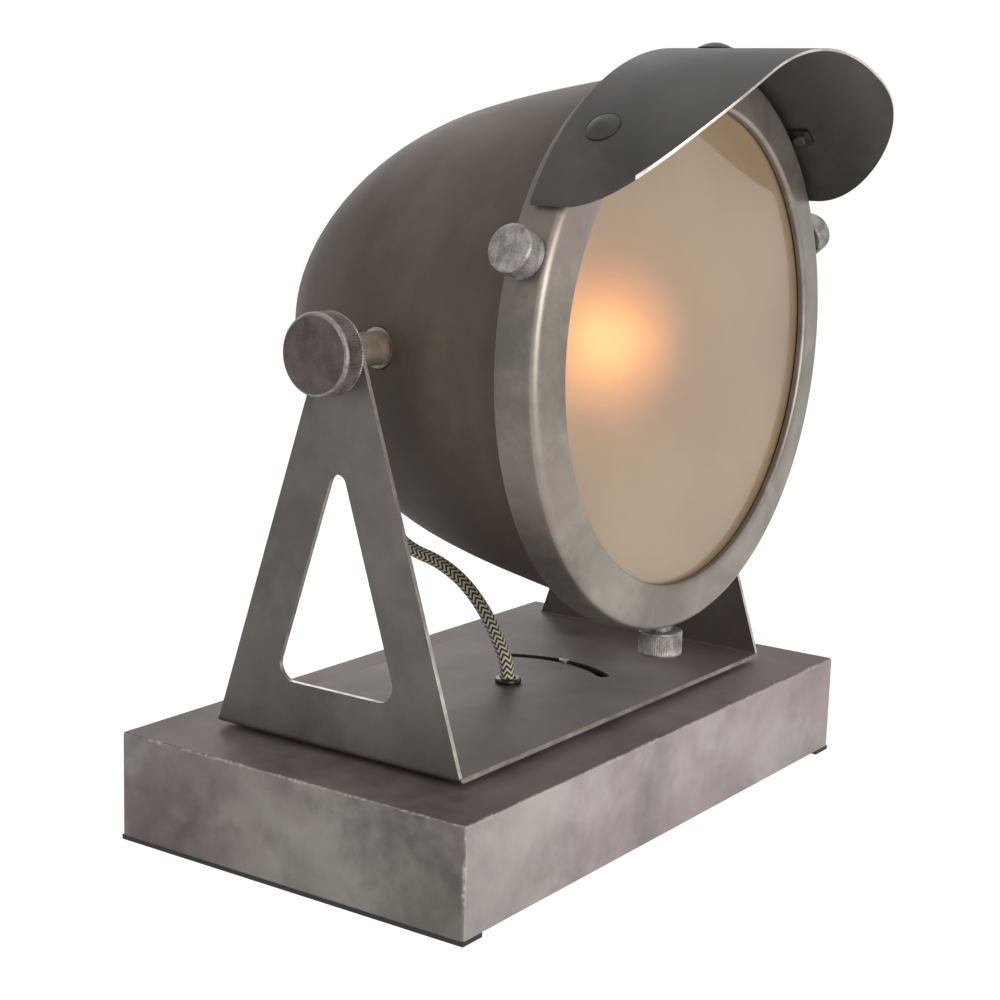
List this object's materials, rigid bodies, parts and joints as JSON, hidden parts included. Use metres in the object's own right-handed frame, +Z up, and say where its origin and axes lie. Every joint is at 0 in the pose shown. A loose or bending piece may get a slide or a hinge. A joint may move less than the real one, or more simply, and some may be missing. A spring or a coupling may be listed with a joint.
{
  "type": "tabletop searchlight lamp",
  "caption": "Tabletop searchlight lamp: round head with visor and frosted lens, tilting in a folded bracket that pans on a rectangular block.",
  "frame": {"origin": "on the table, under the centre of the base block and on the pan axis", "axes": "+Z up, the lens faces -Y, the tilt axis runs along X"},
  "size_m": [0.3, 0.241, 0.3254],
  "materials": {
    "block_metal": "patchy satin grey patina, lighter worn edges",
    "cover_metal": "matt black paint",
    "ballast_iron": "raw cast iron",
    "black_rubber": "matt black rubber",
    "black_plastic": "matt black moulding",
    "white_plastic": "white moulding",
    "steel_fixing": "plain steel fixing",
    "brass_fixing": "plain brass",
    "nickel_fitting": "satin nickel tube",
    "bracket_metal": "dark satin patina",
    "housing_metal": "dark spun gunmetal, faint purple and green tints",
    "ring_metal": "satin gunmetal ring",
    "visor_metal": "dark satin sheet, bright cut edge",
    "cast_knob": "mottled cast face, knurled edge",
    "frosted_glass": "warm frosted glass, lit",
    "bulb_glass": "opal glass",
    "textile_cord": "black and cream zigzag braid",
    "lead_sheath": "brown insulated core"
  },
  "bodies": {
    "base": {"base_shell": "block_metal", "base_cover": "cover_metal", "foot_strips": "black_rubber", "cover_screws": "steel_fixing", "ballast_plate": "ballast_iron", "friction_washer": "black_plastic", "guide_screw": "steel_fixing", "guide_nut": "steel_fixing", "cable_inlet": "black_plastic", "inlet_nut": "black_plastic", "terminal_block": "white_plastic", "terminal_screws": "brass_fixing", "base_leads": "lead_sheath"},
    "bracket": {"bracket": "bracket_metal", "pivot_tube": "bracket_metal", "spring_washer": "steel_fixing", "pivot_nut": "steel_fixing", "cord_grommet": "black_rubber", "knob_washers": "steel_fixing", "head_cord": "textile_cord"},
    "head": {"housing": "housing_metal", "pivot_studs": "steel_fixing", "pivot_washers": "nickel_fitting", "spacer_tubes": "nickel_fitting", "inner_nuts": "steel_fixing", "thumbscrew_nuts": "steel_fixing", "housing_bushing": "black_rubber", "holder_plate": "cover_metal", "lampholder": "white_plastic", "head_leads": "lead_sheath"},
    "bezel": {"bezel_ring": "ring_metal", "lens_glass": "frosted_glass", "lens_gasket": "black_rubber", "lens_clips": "steel_fixing", "visor": "visor_metal", "visor_straps": "black_plastic", "visor_rivets": "ring_metal"},
    "bulb": {"bulb": "bulb_glass"},
    "thumbscrew_left": {"thumbscrew_left": "cast_knob"},
    "thumbscrew_right": {"thumbscrew_right": "cast_knob"},
    "thumbscrew_bottom": {"thumbscrew_bottom": "cast_knob"},
    "tilt_knob_left": {"tilt_knob_left": "cast_knob"},
    "tilt_knob_right": {"tilt_knob_right": "cast_knob"}
  },
  "joints": [
    {"name": "pan", "type": "hinge", "parent": "base", "child": "bracket", "pos_m": [0, 0, 0.0478], "axis": [0, 0, 1], "range_deg": [-34.5, 34.5]},
    {"name": "tilt", "type": "hinge", "parent": "bracket", "child": "head", "pos_m": [0, 0, 0.205], "axis": [1, 0, 0], "range_deg": [-45, 20], "deforming": ["head_cord"]},
    {"name": "bezel_slide", "type": "slide", "parent": "head", "child": "bezel", "axis": [0, -1, 0], "range_m": [0, 0.04]},
    {"name": "bulb_turn", "type": "hinge", "parent": "head", "child": "bulb", "pos_m": [0, -0.02, 0.205], "axis": [0, -1, 0], "continuous": true},
    {"name": "left_thumbscrew_turn", "type": "hinge", "parent": "head", "child": "thumbscrew_left", "pos_m": [-0.11276, -0.076, 0.24604], "axis": [-0.9397, 0, 0.342], "continuous": true},
    {"name": "right_thumbscrew_turn", "type": "hinge", "parent": "head", "child": "thumbscrew_right", "pos_m": [0.11276, -0.076, 0.24604], "axis": [0.9397, 0, 0.342], "continuous": true},
    {"name": "bottom_thumbscrew_turn", "type": "hinge", "parent": "head", "child": "thumbscrew_bottom", "pos_m": [0, -0.076, 0.085], "axis": [0, 0, -1], "continuous": true},
    {"name": "left_knob_turn", "type": "hinge", "parent": "head", "child": "tilt_knob_left", "pos_m": [-0.13, 0, 0.205], "axis": [-1, 0, 0], "continuous": true},
    {"name": "right_knob_turn", "type": "hinge", "parent": "head", "child": "tilt_knob_right", "pos_m": [0.13, 0, 0.205], "axis": [1, 0, 0], "continuous": true}
  ]
}
